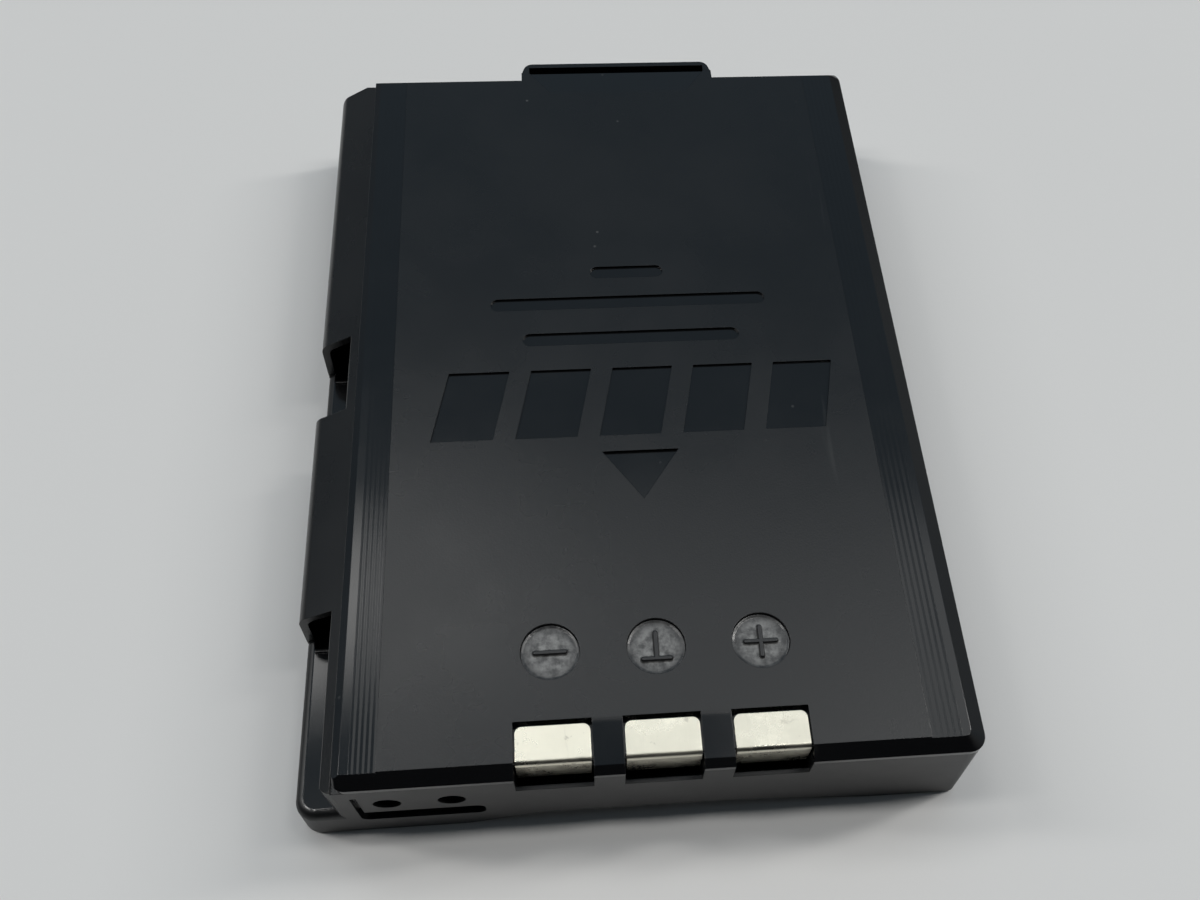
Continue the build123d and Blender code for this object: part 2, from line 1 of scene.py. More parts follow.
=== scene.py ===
"""Looks of a slim black camera battery: moulded plastic, nickel contacts, raised terminal signs."""

import math

import bpy
import numpy as np
from mathutils import Matrix


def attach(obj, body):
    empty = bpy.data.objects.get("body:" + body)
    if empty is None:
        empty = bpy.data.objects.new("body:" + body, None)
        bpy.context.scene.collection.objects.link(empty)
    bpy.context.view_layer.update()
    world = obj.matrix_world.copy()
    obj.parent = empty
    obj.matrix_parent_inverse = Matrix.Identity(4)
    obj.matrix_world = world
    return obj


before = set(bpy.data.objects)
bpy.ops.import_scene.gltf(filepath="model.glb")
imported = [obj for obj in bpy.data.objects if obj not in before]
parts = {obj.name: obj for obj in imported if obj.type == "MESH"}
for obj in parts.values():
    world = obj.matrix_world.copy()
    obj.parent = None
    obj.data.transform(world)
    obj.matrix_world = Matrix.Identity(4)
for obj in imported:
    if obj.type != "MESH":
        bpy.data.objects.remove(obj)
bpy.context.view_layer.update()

MM = 0.001

# Places on the battery, in millimetres

SIGN_Y = -20.85  # middle of the three round pockets
SIGN_X = {"sign_negative": -4.662, "sign_sense": 1.388, "sign_positive": 7.438}
SIGN_PITCH = 6.05
POCKET_RADIUS = 1.68
POCKET_FLOOR = 8.4
FACE_HEIGHT = 8.7  # textured panel
FACE_SKIN = 0.006  # depth at which the panel's texture ends
BAND_HEIGHT = 8.672  # smooth bands beside the panel
LEDGE_HEIGHT = 3.3
LEDGE_SKIN = (0.015, 0.004)  # depths under the ledge's top where its polish starts and is full
LEDGE_LIFT = (0.05, 0.2)  # heights over the ledge where its polish starts to fade and is gone
RAIL_SIDE = -17.4  # inner side of the ledge
RAIL_FADE = 0.05
END_WALL = -28.0
END_FADE = (0.05, 0.2)  # depths behind the end wall where its coarseness starts to fade and is gone

# Raised signs, in millimetres

SIGN_HEIGHT = 0.2
STROKE_WIDTH = 0.31
STROKE_FLANK = (-0.07, 0.05)  # start and end of a stroke's flank, from half its width
DISC_SKIN = 0.02  # top of the disc over the pocket's floor
DISC_GAP = 0.002  # underside of the disc over the pocket's floor
RIM_WIDTH = 0.22
RIM_RISE = 0.05
POLE_RADIUS = 0.002
FIRST_RING = 0.03
DISC_RINGS = 56
DISC_SECTORS = 168

# Each sign's strokes, from its own middle, drawn to be read from the far end
SIGNS = {
    "sign_negative": [((-0.85, 0.0), (0.85, 0.0))],
    "sign_sense": [((-0.78, -0.72), (0.78, -0.72)), ((0.0, -0.72), (0.0, 0.85))],
    "sign_positive": [((-0.88, 0.0), (0.88, 0.0)), ((0.0, -0.88), (0.0, 0.88))],
}

# Table, in millimetres

TABLE_RADIUS = 1500.0
TABLE_POLE = 0.004  # share of the radius, before it is squared
TABLE_RINGS = 40
TABLE_SECTORS = 96


# Meshes


def closed_grid(name, points, capped=False):
    """Mesh from a grid of points whose second direction closes on itself.

    Each cell is one quad. Where capped, the first and the last ring are each filled with one face.
    """
    rows, columns = points.shape[:2]
    index = np.arange(rows * columns).reshape(rows, columns)
    beside = np.roll(index, -1, axis=1)
    faces = np.stack([index[:-1], index[1:], beside[1:], beside[:-1]], axis=-1).reshape(-1, 4).tolist()
    if capped:
        faces += [index[0].tolist(), index[-1, ::-1].tolist()]
    mesh = bpy.data.meshes.new(name)
    mesh.from_pydata((points.reshape(-1, 3) * MM).tolist(), [], faces)
    mesh.validate()
    piece = bpy.data.objects.new(name, mesh)
    bpy.context.scene.collection.objects.link(piece)
    return piece


def smooth_step(low, high, value):
    """0 below low, 1 above high, and 3t^2 - 2t^3 between them."""
    t = np.clip((value - low) / (high - low), 0.0, 1.0)
    return t * t * (3.0 - 2.0 * t)


def stroke_distance(x, y, start, end):
    """Distance from each point to a stroke: to the nearest point of the segment from start to end."""
    run = np.array(end, float) - np.array(start, float)
    t = np.clip(((x - start[0]) * run[0] + (y - start[1]) * run[1]) / (run @ run), 0.0, 1.0)
    return np.hypot(x - start[0] - t * run[0], y - start[1] - t * run[1])


def polar_grid(radius, sectors):
    """Radius and angle at each point of a polar grid: one row for each radius, one column for each sector."""
    angle = np.linspace(0.0, 2.0 * math.pi, sectors, endpoint=False)
    return np.meshgrid(radius, angle, indexing="ij")


def sign_disc(name, centre_x, strokes):
    """Floor of a round pocket with a raised sign on it.

    A polar grid: radius by angle. The height is the floor plus a flat-topped ridge, which is the sign's
    height times a smooth step of the distance to the nearest stroke, plus a small rise at the rim. The same
    rows run back along the underside, so the disc is closed.
    """
    radius = np.concatenate([[POLE_RADIUS], np.linspace(FIRST_RING, POCKET_RADIUS, DISC_RINGS)])
    r, a = polar_grid(radius, DISC_SECTORS)
    x, y = r * np.cos(a), r * np.sin(a)
    nearest = np.min([stroke_distance(x, y, *stroke) for stroke in strokes], axis=0)
    inner, outer = (STROKE_WIDTH / 2 + step for step in STROKE_FLANK)
    ridge = 1.0 - smooth_step(inner, outer, nearest)
    rim = smooth_step(POCKET_RADIUS - RIM_WIDTH, POCKET_RADIUS, r)
    top = POCKET_FLOOR + DISC_SKIN + SIGN_HEIGHT * ridge + RIM_RISE * rim
    upper = np.stack([x + centre_x, y + SIGN_Y, top], axis=-1)
    under = np.stack([x + centre_x, y + SIGN_Y, np.full_like(x, POCKET_FLOOR + DISC_GAP)], axis=-1)[::-1]
    disc = closed_grid(name, np.concatenate([upper, under]), capped=True)
    disc.data.polygons.foreach_set("use_smooth", [True] * len(disc.data.polygons))
    return disc


def floor_sheet(name):
    """Round table top: a polar grid of rings whose radius grows with the square of the ring number."""
    r, a = polar_grid(TABLE_RADIUS * np.linspace(TABLE_POLE, 1.0, TABLE_RINGS) ** 2, TABLE_SECTORS)
    return closed_grid(name, np.stack([r * np.cos(a), r * np.sin(a), np.zeros_like(r)], axis=-1))


# Materials

# A pattern's scale is its number of cells in a metre; levels are the values where a mark starts and is full.
# A relief is a height in millimetres, and a bump is its strength
MOST = (0.3, 0.7)  # levels that hold most of a noise
CORE = (0.35, 0.65)
PLASTIC_IOR = 1.5


class Finish:
    """A node material under construction, with short calls for the nodes it uses."""

    SOCKETS = {
        "colour": "Base Color", "metal": "Metallic", "rough": "Roughness", "normal": "Normal", "ior": "IOR",
    }

    def __init__(self, name):
        self.material = bpy.data.materials.new(name)
        self.material.use_nodes = True
        self.tree = self.material.node_tree
        self.shader = self.tree.nodes["Principled BSDF"]
        self.place = self.node("ShaderNodeTexCoord").outputs["Object"]

    def node(self, kind, **settings):
        made = self.tree.nodes.new(kind)
        for key, value in settings.items():
            setattr(made, key, value)
        return made

    def link(self, value, socket):
        """Join another node's output to a socket, or set the socket to a constant."""
        if isinstance(value, bpy.types.NodeSocket):
            self.tree.links.new(value, socket)
        else:
            socket.default_value = value

    def axis(self, letter):
        """One coordinate of the surface point, in metres."""
        split = self.node("ShaderNodeSeparateXYZ")
        self.link(self.place, split.inputs[0])
        return split.outputs[letter]

    def stretched(self, scale):
        """Object coordinates scaled on each axis."""
        mapping = self.node("ShaderNodeMapping")
        self.link(self.place, mapping.inputs["Vector"])
        mapping.inputs["Scale"].default_value = scale
        return mapping.outputs["Vector"]

    def noise(self, scale, detail=2.0, vector=None, rough=0.5):
        made = self.node("ShaderNodeTexNoise")
        self.link(self.place if vector is None else vector, made.inputs["Vector"])
        made.inputs["Scale"].default_value = scale
        made.inputs["Detail"].default_value = detail
        made.inputs["Roughness"].default_value = rough
        return made.outputs["Fac"]

    def cells(self, scale, vector=None, feature="F1"):
        made = self.node("ShaderNodeTexVoronoi", feature=feature)
        self.link(self.place if vector is None else vector, made.inputs["Vector"])
        made.inputs["Scale"].default_value = scale
        return made.outputs["Distance"]

    def span(self, value, low, high, to_low=0.0, to_high=1.0):
        """Value from low to high, smoothly mapped to another range and held at its ends."""
        made = self.node("ShaderNodeMapRange", interpolation_type="SMOOTHSTEP")
        for socket, number in zip(made.inputs, (value, low, high, to_low, to_high)):
            self.link(number, socket)
        return made.outputs[0]

    def math(self, operation, first, second):
        made = self.node("ShaderNodeMath", operation=operation)
        self.link(first, made.inputs[0])
        self.link(second, made.inputs[1])
        return made.outputs[0]

    def plus(self, first, second):
        return self.math("ADD", first, second)

    def times(self, first, second):
        return self.math("MULTIPLY", first, second)

    def mix(self, share, first, second):
        """Blend of two numbers."""
        made = self.node("ShaderNodeMix", data_type="FLOAT")
        for socket, value in zip((made.inputs[0], made.inputs[2], made.inputs[3]), (share, first, second)):
            self.link(value, socket)
        return made.outputs[0]

    def tint(self, share, first, second):
        """Blend of two colours."""
        made = self.node("ShaderNodeMix", data_type="RGBA")
        for socket, value in zip((made.inputs[0], made.inputs[6], made.inputs[7]), (share, first, second)):
            self.link((*value, 1.0) if isinstance(value, tuple) else value, socket)
        return made.outputs[2]

    def bump(self, height, strength, distance, normal=None):
        made = self.node("ShaderNodeBump")
        self.link(height, made.inputs["Height"])
        made.inputs["Strength"].default_value = strength
        made.inputs["Distance"].default_value = distance
        if normal is not None:
            self.link(normal, made.inputs["Normal"])
        return made.outputs["Normal"]

    def soft_edges(self, radius):
        """Normal that is rounded near sharp edges."""
        made = self.node("ShaderNodeBevel", samples=6)
        made.inputs["Radius"].default_value = radius
        return made.outputs["Normal"]

    def edge_share(self, rounded, low, high):
        """How much the rounded normal departs from the true one: 0 on flats, 1 on edges."""
        dot = self.node("ShaderNodeVectorMath", operation="DOT_PRODUCT")
        self.link(self.node("ShaderNodeNewGeometry").outputs["Normal"], dot.inputs[0])
        self.link(rounded, dot.inputs[1])
        return self.span(dot.outputs["Value"], high, low)

    def set(self, **sockets):
        """Join the finished colour, roughness and the rest to the shader."""
        for key, value in sockets.items():
            self.link(value, self.shader.inputs[self.SOCKETS[key]])
        return self.material


# Black plastic

BLACK_DEEP, BLACK_PALE = (0.0026, 0.0028, 0.0033), (0.0058, 0.0060, 0.0065)
BLACK_DUST, BLACK_WORN = (0.16, 0.16, 0.155), (0.05, 0.05, 0.05)
BLACK_EDGE = 0.04  # rounding of sharp edges, in millimetres
EDGE_LEVELS = (0.86, 0.99)
WEAR_SCALE, WEAR_LEVELS = 900.0, (0.52, 0.75)
GRAIN_SCALE, GRAIN_CELLS, GRAIN_CELL_SHARE = 8500.0, 6500.0, 0.6
RIPPLE_SCALE, RIPPLE_SHARE = 700.0, 0.3
SMUDGE_SCALE = 95.0
DUST_CELLS, DUST_LEVELS = 430.0, (0.06, 0.02)
DUST_PATCHES, DUST_PATCH_LEVELS = 160.0, (0.56, 0.66)
SCRATCH_SCALE, SCRATCH_STRETCH, SCRATCH_LEVELS = 420.0, (1.0, 0.06, 1.0), (0.70, 0.76)
SCRATCH_SHARE, DUST_SHARE, WORN_SHARE = 0.25, 0.35, 0.25
MATT_ROUGHNESS, POLISHED_ROUGHNESS = (0.25, 0.31), (0.11, 0.17)
COARSE_ROUGHNESS, WORN_ROUGHNESS = 0.17, 0.08  # more where coarse, less where rubbed
POLISHED_GRAIN = 0.12  # share of the grain that is left where polished
BLACK_BUMP, BLACK_RELIEF = 0.25, 0.012


def black_moulding(name, smooth_area, coarse_area=None):
    """Black plastic from a spark-eroded mould.

    smooth_area(finish) gives 1 where the mould was polished, coarse_area(finish) where its texture is deeper.
    """
    f = Finish(name)
    polished = smooth_area(f)
    rounded = f.soft_edges(BLACK_EDGE * MM)
    patches = f.span(f.noise(WEAR_SCALE, detail=3.0), *WEAR_LEVELS)
    wear = f.times(f.edge_share(rounded, *EDGE_LEVELS), patches)
    grain = f.plus(f.noise(GRAIN_SCALE), f.times(f.cells(GRAIN_CELLS), GRAIN_CELL_SHARE))
    ripple = f.noise(RIPPLE_SCALE)
    smudge = f.noise(SMUDGE_SCALE, detail=4.0, rough=0.62)
    dust = f.span(f.cells(DUST_CELLS), *DUST_LEVELS)
    dust = f.times(dust, f.span(f.noise(DUST_PATCHES, detail=1.0), *DUST_PATCH_LEVELS))
    wiped = f.noise(SCRATCH_SCALE, detail=3.0, vector=f.stretched(SCRATCH_STRETCH), rough=0.7)
    scratch = f.span(wiped, *SCRATCH_LEVELS)
    marks = f.math("MAXIMUM", dust, f.times(scratch, SCRATCH_SHARE))
    shade = f.tint(smudge, BLACK_DEEP, BLACK_PALE)
    shade = f.tint(f.times(marks, DUST_SHARE), shade, BLACK_DUST)
    shade = f.tint(f.times(wear, WORN_SHARE), shade, BLACK_WORN)
    matt = f.span(smudge, *MOST, *MATT_ROUGHNESS)
    if coarse_area:
        matt = f.plus(matt, f.times(coarse_area(f), COARSE_ROUGHNESS))
    rough = f.mix(polished, matt, f.span(smudge, *MOST, *POLISHED_ROUGHNESS))
    rough = f.math("SUBTRACT", rough, f.times(wear, WORN_ROUGHNESS))
    height = f.plus(f.times(grain, f.mix(polished, 1.0, POLISHED_GRAIN)), f.times(ripple, RIPPLE_SHARE))
    normal = f.bump(height, BLACK_BUMP, BLACK_RELIEF * MM, rounded)
    return f.set(colour=shade, rough=rough, normal=normal, ior=PLASTIC_IOR)


def cover_polish(f):
    """Polished where the cover lies below its textured panel: bands, bevels and sunk marks."""
    return f.span(f.axis("Z"), BAND_HEIGHT * MM, (FACE_HEIGHT - FACE_SKIN) * MM, 1.0, 0.0)


def at_ledge(f, under, over):
    """One value under the ledge's flat top and on its rounding, another from the flat upwards."""
    rounding, flat = ((LEDGE_HEIGHT - depth) * MM for depth in LEDGE_SKIN)
    return f.span(f.axis("Z"), rounding, flat, under, over)


def tray_polish(f):
    """Polished on the flat top of the ledge beside the rail."""
    above = at_ledge(f, 0.0, 1.0)
    below = f.span(f.axis("Z"), *((LEDGE_HEIGHT + lift) * MM for lift in LEDGE_LIFT), 1.0, 0.0)
    beside = f.span(f.axis("X"), (RAIL_SIDE - RAIL_FADE) * MM, RAIL_SIDE * MM, 1.0, 0.0)
    return f.times(f.times(above, below), beside)


def coarse_walls(f):
    """Coarser on the end wall and on all the walls below the ledge."""
    end = f.span(f.axis("Y"), *((END_WALL + depth) * MM for depth in END_FADE), 1.0, 0.0)
    return f.math("MAXIMUM", end, at_ledge(f, 1.0, 0.0))


# Pocket floors

PIT_SCALE = 1900.0
# Pitted floor colour: the pale end is a painted reflection of the lamps in the glossy floor, mottled by the
# pits
PIT_DARK, PIT_PAINTED_REFLECTION = (0.045, 0.045, 0.045), (0.23, 0.23, 0.225)
POCKET_CLOUD_SCALE = 600.0
SIGN_LEVELS = (0.06, 0.15)  # heights over the floor where a sign's colour starts and is full, in millimetres
SIGN_COLOUR, SIGN_ROUGHNESS = (0.012, 0.012, 0.013), 0.4
SHADE_REACH = (0.75, 1.62)  # radii where the painted shade at the rim starts and is full, in millimetres
# Painted shade: the floor is darkened towards the pocket's wall, where shade falls
RIM_PAINTED_SHADE, RIM_SHADE_SHARE = (0.02, 0.02, 0.021), 0.75
POCKET_ROUGHNESS = (0.2, 0.34)
PIT_BUMP, PIT_RELIEF = 0.5, 0.05


def pocket_plastic(name):
    """Pocket floors: shiny black plastic whose pale, pitted skin is a painted reflection, with a painted
    shade ring at the rim, round a smooth dark sign.
    """
    f = Finish(name)
    pits = f.noise(PIT_SCALE, detail=3.0, rough=0.6)
    cloud = f.noise(POCKET_CLOUD_SCALE)
    raised = f.span(f.axis("Z"), *((POCKET_FLOOR + lift) * MM for lift in SIGN_LEVELS))
    from_sense = f.math("SUBTRACT", f.axis("X"), SIGN_X["sign_sense"] * MM)
    across = f.math("PINGPONG", from_sense, SIGN_PITCH / 2 * MM)
    along = f.math("SUBTRACT", f.axis("Y"), SIGN_Y * MM)
    reach = f.plus(f.times(across, across), f.times(along, along))
    rim = f.span(reach, *((radius * MM) ** 2 for radius in SHADE_REACH))
    # Painted reflection: the pale pitted tone stands in for the lamps mirrored in the floor
    shade = f.tint(f.span(pits, *MOST), PIT_DARK, PIT_PAINTED_REFLECTION)
    # Painted shade ring at the pocket's rim
    shade = f.tint(f.times(rim, RIM_SHADE_SHARE), shade, RIM_PAINTED_SHADE)
    shade = f.tint(raised, shade, SIGN_COLOUR)
    rough = f.mix(raised, f.span(cloud, *CORE, *POCKET_ROUGHNESS), SIGN_ROUGHNESS)
    normal = f.bump(pits, PIT_BUMP, PIT_RELIEF * MM)
    return f.set(colour=shade, rough=rough, normal=normal, ior=PLASTIC_IOR)


# Nickel contacts

NICKEL_PALE, NICKEL_DULL = (0.86, 0.81, 0.67), (0.70, 0.67, 0.56)
NICKEL_SPOT, NICKEL_RUB, NICKEL_WORN = (0.38, 0.36, 0.31), (0.5, 0.47, 0.40), (0.44, 0.43, 0.37)
RUB_SCALE, RUB_STRETCH = 2600.0, (1.0, 0.09, 1.0)
TARNISH_SCALE, SPOT_SCALE, DENT_SCALE = 420.0, 1300.0, 900.0
MARK_LEVELS = (0.62, 0.72)
SPOT_SHARE, SPOT_ROUGHNESS, RUB_SHARE, DENT_SHARE = 0.5, 0.18, 0.3, 0.8
# Places across the contacts, in millimetres, where more tarnish starts and is full, and how much is added
WORN_STEPS = ((-2.0, -1.0, 0.2), (4.0, 6.5, 0.25))
WORN_CLOUD = (0.55, 1.0)
NICKEL_ROUGHNESS = (0.22, 0.36)
NICKEL_EDGE, NICKEL_BUMP, NICKEL_RELIEF = 0.05, 0.35, 0.02


def contact_nickel(name):
    """Nickel-plated strip: fine rub lines along Y, a few dull spots and tarnish that grows towards +X."""
    f = Finish(name)
    rub = f.noise(RUB_SCALE, detail=4.0, vector=f.stretched(RUB_STRETCH), rough=0.7)
    cloud = f.noise(TARNISH_SCALE, detail=4.0, rough=0.6)
    spots = f.span(f.noise(SPOT_SCALE, detail=3.0, rough=0.65), *MARK_LEVELS)
    shade = f.tint(cloud, NICKEL_PALE, NICKEL_DULL)
    shade = f.tint(f.times(spots, SPOT_SHARE), shade, NICKEL_SPOT)
    shade = f.tint(f.span(rub, *MARK_LEVELS, 0.0, RUB_SHARE), shade, NICKEL_RUB)
    steps = [f.span(f.axis("X"), start * MM, end * MM, 0.0, more) for start, end, more in WORN_STEPS]
    worn = f.times(f.plus(*steps), f.span(cloud, *CORE, *WORN_CLOUD))
    shade = f.tint(worn, shade, NICKEL_WORN)
    rough = f.plus(f.span(cloud, *MOST, *NICKEL_ROUGHNESS), f.times(spots, SPOT_ROUGHNESS))
    height = f.plus(rub, f.times(f.noise(DENT_SCALE), DENT_SHARE))
    normal = f.bump(height, NICKEL_BUMP, NICKEL_RELIEF * MM, f.soft_edges(NICKEL_EDGE * MM))
    return f.set(colour=shade, rough=rough, metal=1.0, normal=normal)


# Inner metals, plastics and the board

STREAK_SCALE, STAIN_SCALE, STREAK_ROUGHNESS = 1500.0, 140.0, (-0.05, 0.08)
MOTTLE_SCALE, MOTTLE_ROUGHNESS = 260.0, (-0.08, 0.08)
INNER_BUMP, METAL_RELIEF, POLYMER_RELIEF = 0.3, 0.01, 0.02
TRACK_CELLS, TRACK_STRETCH, TRACK_LEVELS = 520.0, (0.35, 1.0, 1.0), (0.05, 0.09)
TRACK_COLOUR, RESIST_COLOUR = (0.05, 0.2, 0.08), (0.015, 0.085, 0.035)
WEAVE_SCALE, WEAVE_ROUGHNESS = 5200.0, (0.28, 0.4)


def drawn_metal(name, pale, dull, roughness, stretch):
    """Drawn or rolled metal inside the case: streaks along the drawing direction and faint stains."""
    f = Finish(name)
    streak = f.noise(STREAK_SCALE, detail=4.0, vector=f.stretched(stretch), rough=0.7)
    shade = f.tint(f.noise(STAIN_SCALE, detail=4.0, rough=0.6), pale, dull)
    rough = f.plus(f.span(streak, *MOST, *STREAK_ROUGHNESS), roughness)
    return f.set(colour=shade, rough=rough, metal=1.0, normal=f.bump(streak, INNER_BUMP, METAL_RELIEF * MM))


def plain_polymer(name, pale, deep, roughness, grain_scale):
    """Inner plastics, laminates and tapes: mottled colour, fine grain and a slightly uneven gloss."""
    f = Finish(name)
    grain = f.noise(grain_scale, detail=3.0, rough=0.6)
    shade = f.tint(f.noise(MOTTLE_SCALE, detail=4.0, rough=0.6), pale, deep)
    rough = f.plus(f.span(grain, *MOST, *MOTTLE_ROUGHNESS), roughness)
    return f.set(colour=shade, rough=rough, normal=f.bump(grain, INNER_BUMP, POLYMER_RELIEF * MM))


def board_laminate(name):
    """Green solder resist over copper tracks that run lengthwise."""
    f = Finish(name)
    borders = f.cells(TRACK_CELLS, vector=f.stretched(TRACK_STRETCH), feature="DISTANCE_TO_EDGE")
    tracks = f.span(borders, *TRACK_LEVELS)
    shade = f.tint(tracks, TRACK_COLOUR, RESIST_COLOUR)
    rough = f.span(f.noise(WEAVE_SCALE), *MOST, *WEAVE_ROUGHNESS)
    return f.set(colour=shade, rough=rough, normal=f.bump(tracks, INNER_BUMP, POLYMER_RELIEF * MM))


# Table

TABLE_DARK, TABLE_PALE = (0.735, 0.73, 0.72), (0.77, 0.765, 0.755)
TABLE_CLOUD_SCALE, FIBRE_SCALE = 9.0, 1400.0
TABLE_ROUGHNESS, FIBRE_BUMP, FIBRE_RELIEF = 0.6, 0.12, 0.05


def table_top(name):
    """Pale grey table: very faint clouding and fibre grain."""
    f = Finish(name)
    shade = f.tint(f.noise(TABLE_CLOUD_SCALE, detail=4.0, rough=0.6), TABLE_DARK, TABLE_PALE)
    normal = f.bump(f.noise(FIBRE_SCALE, detail=3.0), FIBRE_BUMP, FIBRE_RELIEF * MM)
    return f.set(colour=shade, rough=TABLE_ROUGHNESS, normal=normal)


# Finishes of the CAD nodes

# Nodes, pale and dull colour, roughness, and how the streaks are stretched
METALS = {
    "drawn_can": (["cell_can"], (0.78, 0.79, 0.81), (0.66, 0.67, 0.69), 0.32, (1.0, 0.05, 1.0)),
    "terminal_plating": (["cell_terminal"], (0.74, 0.73, 0.7), (0.6, 0.59, 0.57), 0.28, (1.0, 1.0, 1.0)),
    "rolled_strip": (
        ["negative_tab", "positive_tab"], (0.75, 0.74, 0.71), (0.62, 0.61, 0.58), 0.3, (0.06, 1.0, 1.0),
    ),
}
# Nodes, pale and deep colour, roughness, and the scale of the grain
POLYMERS = {
    "gasket_resin": (["terminal_gasket"], (0.8, 0.8, 0.76), (0.72, 0.71, 0.66), 0.35, 2500.0),
    "fibre_card": (["insulating_card"], (0.42, 0.33, 0.18), (0.33, 0.25, 0.13), 0.75, 3800.0),
    "fuse_coating": (["fuse_link"], (0.045, 0.05, 0.06), (0.028, 0.03, 0.036), 0.4, 2200.0),
    "chip_resin": (
        ["switch_chip", "protection_chip"], (0.022, 0.022, 0.024), (0.014, 0.014, 0.015), 0.6, 6000.0,
    ),
    "resistor_glaze": (["chip_resistors"], (0.03, 0.03, 0.036), (0.018, 0.018, 0.022), 0.3, 3000.0),
    "capacitor_clay": (["chip_capacitors"], (0.36, 0.25, 0.15), (0.28, 0.19, 0.11), 0.5, 3000.0),
    "sensor_glaze": (["thermistor"], (0.05, 0.045, 0.04), (0.03, 0.027, 0.024), 0.35, 3000.0),
    "tape_film": (["floor_tape", "cover_tape"], (0.74, 0.71, 0.58), (0.66, 0.63, 0.5), 0.45, 1800.0),
    "foam_cells": (["end_foam"], (0.06, 0.06, 0.065), (0.03, 0.03, 0.033), 0.9, 2600.0),
}


def dress(names, material):
    """Give CAD nodes one material."""
    for name in names:
        mesh = parts[name].data
        mesh.materials.clear()
        mesh.materials.append(material)


dress(["case_cover"], black_moulding("cover_moulding", cover_polish))
dress(["case_tray"], black_moulding("tray_moulding", tray_polish, coarse_walls))
dress(["contact_negative", "contact_sense", "contact_positive"], contact_nickel("contact_plating"))
dress(["circuit_board"], board_laminate("board_resist"))
for finish, (nodes, *look) in METALS.items():
    dress(nodes, drawn_metal(finish, *look))
for finish, (nodes, *look) in POLYMERS.items():
    dress(nodes, plain_polymer(finish, *look))


# Raised signs in the round pockets

pocket_skin = pocket_plastic("pocket_skin")
for name, strokes in SIGNS.items():
    sign = sign_disc(name, SIGN_X[name], strokes)
    sign.data.materials.append(pocket_skin)
    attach(sign, "root")


# Stage, light and camera

table = floor_sheet("table_top")
table.data.materials.append(table_top("table_paint"))

# Lamps that face straight down: centre across and along, size across and along, radiance; lengths in metres
LAMP_HEIGHT = 0.5
CEILING_COLOUR = (1.0, 0.985, 0.96)
CEILING_LAMPS = {
    "ceiling_panel": ((0.105, 0.1675), (0.30, 0.155), 1.08),
    "ceiling_lamp": ((-0.10, 0.2175), (0.17, 0.07), 4.4),
    "ledge_lamp": ((-0.1475, 0.1825), (0.045, 0.035), 4.2),
    "overhead_left": ((-0.235, 0.014), (0.3, 0.045), 12.3),
    "overhead_right": ((0.26, 0.014), (0.3, 0.045), 12.3),
}
# Strips at the sides, turned to the battery: place across and radiance
STRIP_COLOUR = (1.0, 0.98, 0.95)
STRIP_Y = 0.152
STRIP_SIZE = (0.36, 0.06)
SIDE_STRIPS = {"right_strip": (0.5, 17.5), "left_strip": (-0.5, 13.0)}


def softbox(name, centre, target, size, radiance, colour):
    """Rectangular area light. Its power is radiance times pi times its area."""
    lamp = bpy.data.lights.new(name, "AREA")
    lamp.shape = "RECTANGLE"
    lamp.size, lamp.size_y = size
    lamp.energy = radiance * math.pi * size[0] * size[1]
    lamp.color = colour
    holder = bpy.data.objects.new(name, lamp)
    back = np.array(centre, float) - np.array(target, float)
    back /= np.linalg.norm(back)
    across = np.cross((0.0, 1.0, 0.0), back)
    across /= np.linalg.norm(across)
    turn = np.eye(4)
    turn[:3, 0], turn[:3, 1], turn[:3, 2], turn[:3, 3] = across, np.cross(back, across), back, centre
    holder.matrix_world = Matrix(turn.tolist())
    bpy.context.scene.collection.objects.link(holder)


for name, ((x, y), size, radiance) in CEILING_LAMPS.items():
    softbox(name, (x, y, LAMP_HEIGHT), (x, y, 0.0), size, radiance, CEILING_COLOUR)
for name, (x, radiance) in SIDE_STRIPS.items():
    softbox(name, (x, STRIP_Y, LAMP_HEIGHT), (0.0, 0.0, 0.0), STRIP_SIZE, radiance, STRIP_COLOUR)

# Room: each wall's colour, and where along the direction of sight it starts and is full
ROOM_DARK = (0.008, 0.0085, 0.0095, 1.0)
FAR_LEFT_COLOUR = (0.12, 0.13, 0.14, 1.0)
RIGHT_COLOUR = (0.26, 0.27, 0.27, 1.0)
FAR_COLOUR = (0.20, 0.27, 0.33, 1.0)
FAR_Y, FAR_Z = (-0.35, 0.35), (0.1, 0.55)
FAR_LEFT_X, FAR_LEFT_Y = (-0.25, -0.7), (0.15, 0.6)
RIGHT_X = (0.5, 0.9)


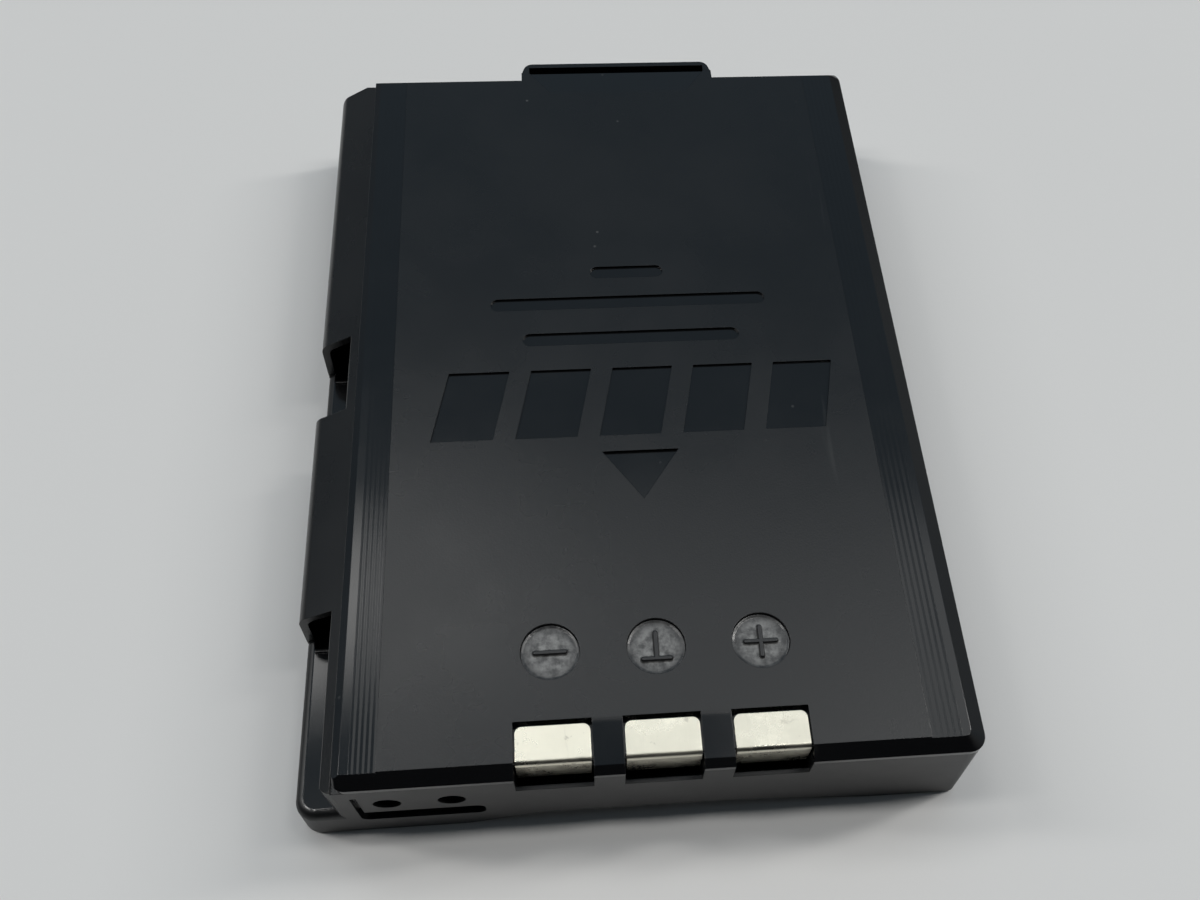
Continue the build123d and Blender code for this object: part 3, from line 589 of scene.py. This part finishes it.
def room_light():
    """Dim bluish room: brighter above the far end and low on the right, almost dark behind the camera."""
    world = bpy.data.worlds.new("room")
    bpy.context.scene.world = world
    world.use_nodes = True
    tree = world.node_tree
    split = tree.nodes.new("ShaderNodeSeparateXYZ")
    tree.links.new(tree.nodes.new("ShaderNodeTexCoord").outputs["Generated"], split.inputs[0])

    def ramp(letter, low, high):
        made = tree.nodes.new("ShaderNodeMapRange")
        made.interpolation_type = "SMOOTHSTEP"
        tree.links.new(split.outputs[letter], made.inputs[0])
        made.inputs[1].default_value = low
        made.inputs[2].default_value = high
        return made.outputs[0]

    def both(first, second):
        made = tree.nodes.new("ShaderNodeMath")
        made.operation = "MULTIPLY"
        tree.links.new(first, made.inputs[0])
        tree.links.new(second, made.inputs[1])
        return made.outputs[0]

    def blend(share, colour):
        made = tree.nodes.new("ShaderNodeMix")
        made.data_type = "RGBA"
        tree.links.new(share, made.inputs[0])
        made.inputs[7].default_value = colour
        return made

    walls = [
        blend(both(ramp("X", *FAR_LEFT_X), ramp("Y", *FAR_LEFT_Y)), FAR_LEFT_COLOUR),
        blend(ramp("X", *RIGHT_X), RIGHT_COLOUR),
        blend(both(ramp("Y", *FAR_Y), ramp("Z", *FAR_Z)), FAR_COLOUR),
    ]
    walls[0].inputs[6].default_value = ROOM_DARK
    for wall, over in zip(walls, walls[1:]):
        tree.links.new(wall.outputs[2], over.inputs[6])
    tree.links.new(walls[-1].outputs[2], tree.nodes["Background"].inputs["Color"])


room_light()

# Camera: picture size, focal length and principal point in pixels, place in millimetres, and its axes as rows
PICTURE_WIDTH, PICTURE_HEIGHT = 1200.0, 900.0
FOCAL_LENGTH = 1163.92
PRINCIPAL_POINT = (661.74, 480.78)
CAMERA_PLACE = (-2.997, -46.076, 70.724)
CAMERA_AXES = (
    (0.9960344, -0.0772701, 0.0441010),
    (0.0444922, 0.8618545, 0.5052002),
    (-0.0770455, -0.5012346, 0.8618746),
)
SENSOR_WIDTH = 36.0
CLIP_START, CLIP_END = 0.002, 20.0


def photo_camera():
    """Camera fitted to the photograph's edges."""
    lens = bpy.data.cameras.new("photo_camera")
    lens.sensor_fit = "HORIZONTAL"
    lens.sensor_width = SENSOR_WIDTH
    lens.lens = FOCAL_LENGTH / PICTURE_WIDTH * SENSOR_WIDTH
    lens.shift_x = (PICTURE_WIDTH / 2 - PRINCIPAL_POINT[0]) / PICTURE_WIDTH
    lens.shift_y = (PRINCIPAL_POINT[1] - PICTURE_HEIGHT / 2) / PICTURE_WIDTH
    lens.clip_start = CLIP_START
    lens.clip_end = CLIP_END
    camera = bpy.data.objects.new("photo_camera", lens)
    turn = np.eye(4)
    turn[:3, :3] = np.array(CAMERA_AXES).T
    turn[:3, 3] = np.array(CAMERA_PLACE) * MM
    camera.matrix_world = Matrix(turn.tolist())
    bpy.context.scene.collection.objects.link(camera)
    bpy.context.scene.camera = camera


photo_camera()
bpy.context.scene.view_settings.view_transform = "Standard"
